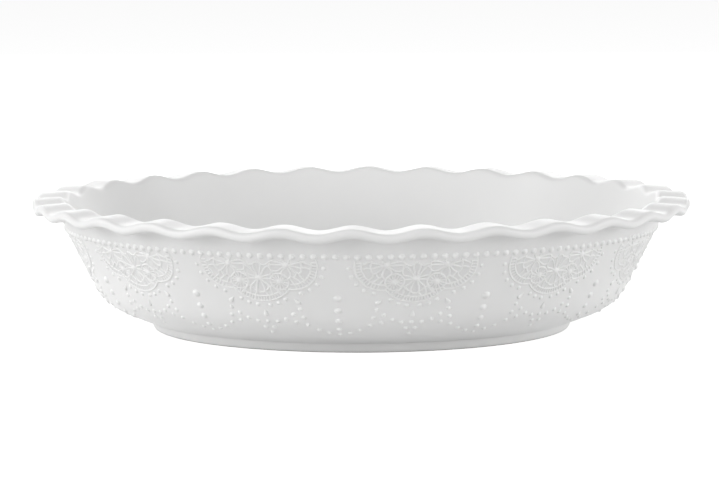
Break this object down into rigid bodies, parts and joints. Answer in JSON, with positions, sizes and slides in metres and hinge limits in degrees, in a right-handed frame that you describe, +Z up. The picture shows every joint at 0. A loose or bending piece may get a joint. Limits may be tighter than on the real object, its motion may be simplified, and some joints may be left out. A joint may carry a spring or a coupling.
{
  "type": "pie dish",
  "caption": "Round glazed ceramic pie dish with a fluted flange, a leaning wall with bead and lace relief, and a foot ring.",
  "frame": {"origin": "centre of the foot ring at the table", "axes": "+Z up along the dish's axis, -Y towards the viewer of the picture, +X to the viewer's right"},
  "size_m": [0.267, 0.267, 0.0537],
  "materials": {
    "glaze": "gloss white glaze",
    "relief_glaze": "gloss white glaze over raised relief"
  },
  "bodies": {
    "root": {"dish_floor": "glaze", "foot_ring": "glaze", "dish_wall": "glaze", "fluted_rim": "glaze", "bead_course": "relief_glaze", "lace_medallion_01": "relief_glaze", "lace_medallion_02": "relief_glaze", "lace_medallion_03": "relief_glaze", "lace_medallion_04": "relief_glaze", "lace_medallion_05": "relief_glaze", "lace_medallion_06": "relief_glaze", "lace_medallion_07": "relief_glaze", "lace_medallion_08": "relief_glaze", "lace_medallion_09": "relief_glaze", "lace_medallion_10": "relief_glaze", "lace_medallion_11": "relief_glaze", "lace_medallion_12": "relief_glaze", "bead_swag_01": "relief_glaze", "bead_swag_02": "relief_glaze", "bead_swag_03": "relief_glaze", "bead_swag_04": "relief_glaze", "bead_swag_05": "relief_glaze", "bead_swag_06": "relief_glaze", "bead_swag_07": "relief_glaze", "bead_swag_08": "relief_glaze", "bead_swag_09": "relief_glaze", "bead_swag_10": "relief_glaze", "bead_swag_11": "relief_glaze", "bead_swag_12": "relief_glaze", "bead_column_01": "relief_glaze", "bead_column_02": "relief_glaze", "bead_column_03": "relief_glaze", "bead_column_04": "relief_glaze", "bead_column_05": "relief_glaze", "bead_column_06": "relief_glaze", "bead_column_07": "relief_glaze", "bead_column_08": "relief_glaze", "bead_column_09": "relief_glaze", "bead_column_10": "relief_glaze", "bead_column_11": "relief_glaze", "bead_column_12": "relief_glaze"}
  },
  "joints": []
}
